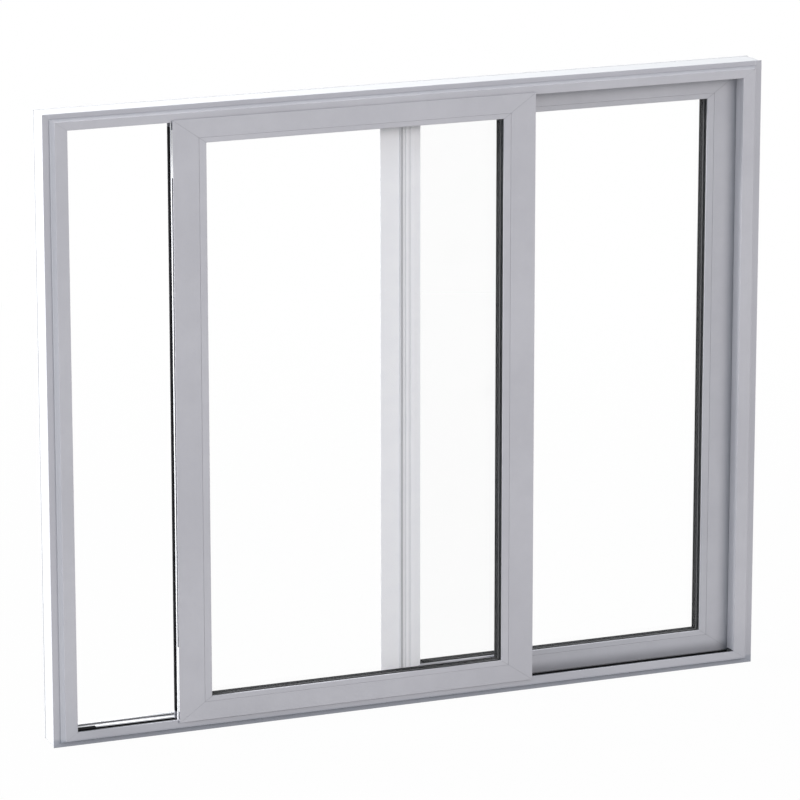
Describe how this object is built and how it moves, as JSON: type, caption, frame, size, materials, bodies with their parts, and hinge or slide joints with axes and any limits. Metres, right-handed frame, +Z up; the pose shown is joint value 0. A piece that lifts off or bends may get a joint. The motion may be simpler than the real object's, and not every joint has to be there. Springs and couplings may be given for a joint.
{
  "type": "sliding window",
  "caption": "Aluminium sliding window with overlapping double-glazed sashes in a mitred track frame with a cover flange, the front sash standing partly open.",
  "frame": {"origin": "middle of the flat underside of the sill, where the frame stands in its wall opening", "axes": "+X to the right along the width, +Y into the depth away from the cover flange's side, +Z up"},
  "size_m": [1.5, 0.083, 1.254],
  "materials": {
    "frame": "satin light grey powder coat",
    "sash": "satin light grey powder coat",
    "bead": "satin light grey powder coat",
    "gasket": "matt black extruded seal",
    "spacer": "matt black spacer bar",
    "glass": "clear float glass",
    "hardware": "black moulded nylon",
    "pile": "woven pile seal",
    "edge_block": "white moulded nylon"
  },
  "bodies": {
    "root": {"back_sash_bottom_rail": "sash", "back_sash_closing_seal": "gasket", "back_sash_front_gasket": "gasket", "back_sash_glazing_bead_bottom": "bead", "back_sash_glazing_bead_left": "bead", "back_sash_glazing_bead_right": "bead", "back_sash_glazing_bead_top": "bead", "back_sash_guides": "hardware", "back_sash_inner_pane": "glass", "back_sash_interlock": "sash", "back_sash_left_stile": "sash", "back_sash_outer_pane": "glass", "back_sash_pile_seals": "pile", "back_sash_rear_gasket": "gasket", "back_sash_right_stile": "sash", "back_sash_rollers": "hardware", "back_sash_spacer": "spacer", "back_sash_top_rail": "sash", "frame_head": "frame", "frame_left_jamb": "frame", "frame_pile_seals": "pile", "frame_right_jamb": "frame", "frame_sill": "frame", "front_sash_bottom_rail": "sash", "front_sash_closing_seal": "gasket", "front_sash_edge_blocks": "edge_block", "front_sash_front_gasket": "gasket", "front_sash_glazing_bead_bottom": "bead", "front_sash_glazing_bead_left": "bead", "front_sash_glazing_bead_right": "bead", "front_sash_glazing_bead_top": "bead", "front_sash_guides": "hardware", "front_sash_inner_pane": "glass", "front_sash_interlock": "sash", "front_sash_left_stile": "sash", "front_sash_outer_pane": "glass", "front_sash_pile_seals": "pile", "front_sash_rear_gasket": "gasket", "front_sash_right_stile": "sash", "front_sash_rollers": "hardware", "front_sash_spacer": "spacer", "front_sash_top_rail": "sash", "front_track_filler": "frame", "rear_track_filler": "frame"}
  },
  "joints": []
}
